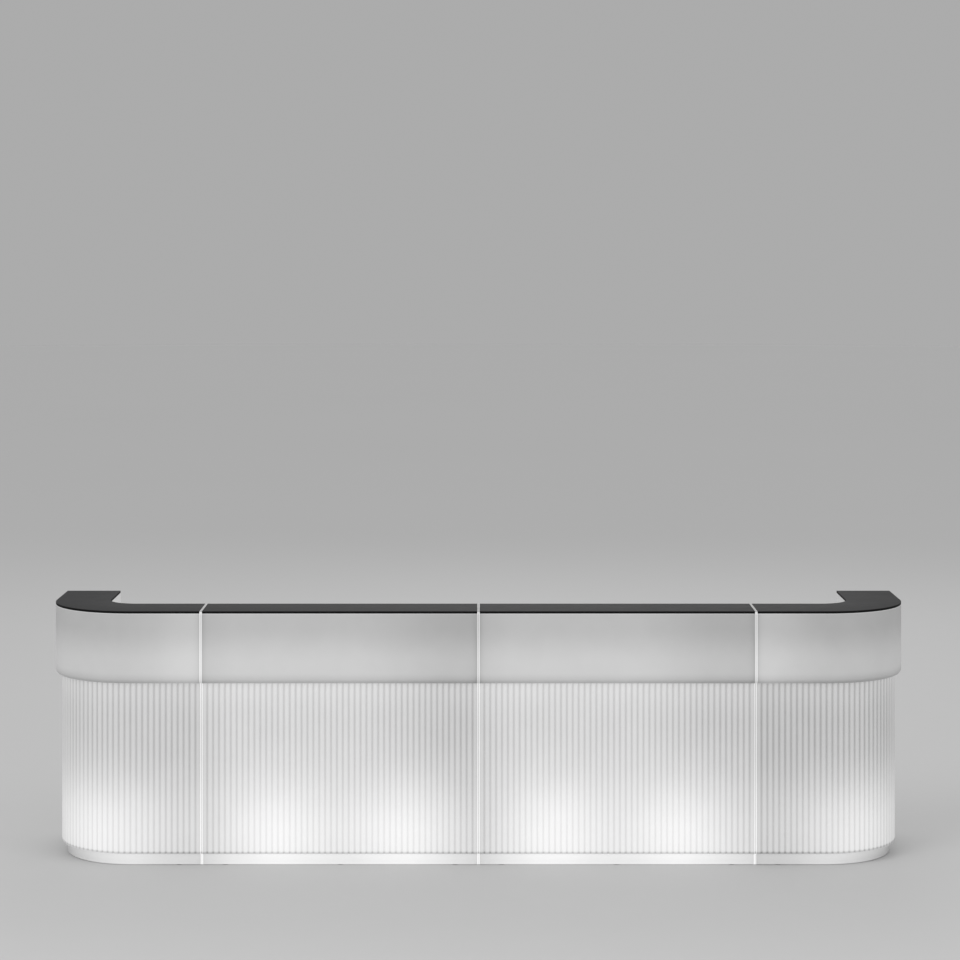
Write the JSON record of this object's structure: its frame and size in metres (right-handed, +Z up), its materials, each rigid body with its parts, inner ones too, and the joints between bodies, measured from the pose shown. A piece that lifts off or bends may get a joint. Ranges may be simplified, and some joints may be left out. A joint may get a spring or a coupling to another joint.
{
  "type": "bar counter",
  "caption": "U-shaped modular bar counter, lit from inside, with a reeded translucent body, a smooth band, a dark laminate top and open shelf units with a worktop behind it.",
  "frame": {"origin": "on the floor, under the middle of the counter's bounding box", "axes": "+X along the counter, +Y from the guests' side to the staff side, +Z up; the ribbed front faces -Y"},
  "size_m": [3.73, 0.675, 1.1],
  "materials": {
    "body_polyethylene": "translucent white rotomoulded polyethylene, satin, lit from inside",
    "counter_laminate": "dark grey compact laminate, satin, black edge",
    "shelf_laminate": "dark grey compact laminate, satin, black edge",
    "cover_plastic": "white polycarbonate sheet",
    "inlet_plastic": "black moulded nylon",
    "rocker_plastic": "black gloss rocker",
    "cable_rubber": "white mains cable sheath",
    "glide_plastic": "dark grey nylon glide",
    "leg_plastic": "black moulded plastic leg",
    "lamp_aluminium": "turned aluminium lamp base",
    "lamp_opal": "opal globe, lit",
    "insert_brass": "brass insert",
    "zinc_steel": "zinc-plated steel"
  },
  "bodies": {
    "root": {"left_straight_body": "body_polyethylene", "left_straight_top": "counter_laminate", "left_straight_service_cover": "cover_plastic", "left_straight_lamp_cover": "cover_plastic", "left_straight_power_inlet": "inlet_plastic", "left_straight_wiring": "cable_rubber", "left_straight_side_panel_left": "shelf_laminate", "left_straight_side_panel_right": "shelf_laminate", "left_straight_divider": "shelf_laminate", "left_straight_bottom_shelf": "shelf_laminate", "left_straight_middle_shelf_left": "shelf_laminate", "left_straight_middle_shelf_right": "shelf_laminate", "left_straight_worktop": "shelf_laminate", "left_straight_kick_board": "shelf_laminate", "right_straight_body": "body_polyethylene", "right_straight_top": "counter_laminate", "right_straight_service_cover": "cover_plastic", "right_straight_lamp_cover": "cover_plastic", "right_straight_power_inlet": "inlet_plastic", "right_straight_wiring": "cable_rubber", "right_straight_side_panel_left": "shelf_laminate", "right_straight_side_panel_right": "shelf_laminate", "right_straight_divider": "shelf_laminate", "right_straight_bottom_shelf": "shelf_laminate", "right_straight_middle_shelf_left": "shelf_laminate", "right_straight_middle_shelf_right": "shelf_laminate", "right_straight_worktop": "shelf_laminate", "right_straight_kick_board": "shelf_laminate", "left_corner_body": "body_polyethylene", "left_corner_top": "counter_laminate", "left_corner_service_cover": "cover_plastic", "left_corner_power_inlet": "inlet_plastic", "left_corner_wiring": "cable_rubber", "right_corner_body": "body_polyethylene", "right_corner_top": "counter_laminate", "right_corner_service_cover": "cover_plastic", "right_corner_power_inlet": "inlet_plastic", "right_corner_wiring": "cable_rubber", "body_glides": "glide_plastic", "top_screws": "zinc_steel", "lamp_bases": "lamp_aluminium", "lamp_globes": "lamp_opal", "lamp_screws": "zinc_steel", "cover_screws": "zinc_steel", "threaded_inserts": "insert_brass", "joining_plates": "zinc_steel", "joining_screws": "zinc_steel", "shelf_legs": "leg_plastic", "shelf_pins": "zinc_steel", "worktop_brackets": "zinc_steel", "bracket_screws": "zinc_steel", "panel_screws": "zinc_steel"},
    "left_straight_switch": {"left_straight_rocker": "rocker_plastic"},
    "right_straight_switch": {"right_straight_rocker": "rocker_plastic"},
    "left_corner_switch": {"left_corner_rocker": "rocker_plastic"},
    "right_corner_switch": {"right_corner_rocker": "rocker_plastic"}
  },
  "joints": [
    {"name": "left_straight_rocker_tilt", "type": "hinge", "parent": "root", "child": "left_straight_switch", "pos_m": [-0.87, -0.0965, 0.284], "axis": [1, 0, 0], "range_deg": [-16, 0]},
    {"name": "right_straight_rocker_tilt", "type": "hinge", "parent": "root", "child": "right_straight_switch", "pos_m": [0.32, -0.0965, 0.284], "axis": [1, 0, 0], "range_deg": [-16, 0]},
    {"name": "left_corner_rocker_tilt", "type": "hinge", "parent": "root", "child": "left_corner_switch", "pos_m": [-1.34, -0.0965, 0.284], "axis": [1, 0, 0], "range_deg": [-16, 0]},
    {"name": "right_corner_rocker_tilt", "type": "hinge", "parent": "root", "child": "right_corner_switch", "pos_m": [1.34, -0.0965, 0.284], "axis": [1, 0, 0], "range_deg": [-16, 0]}
  ]
}
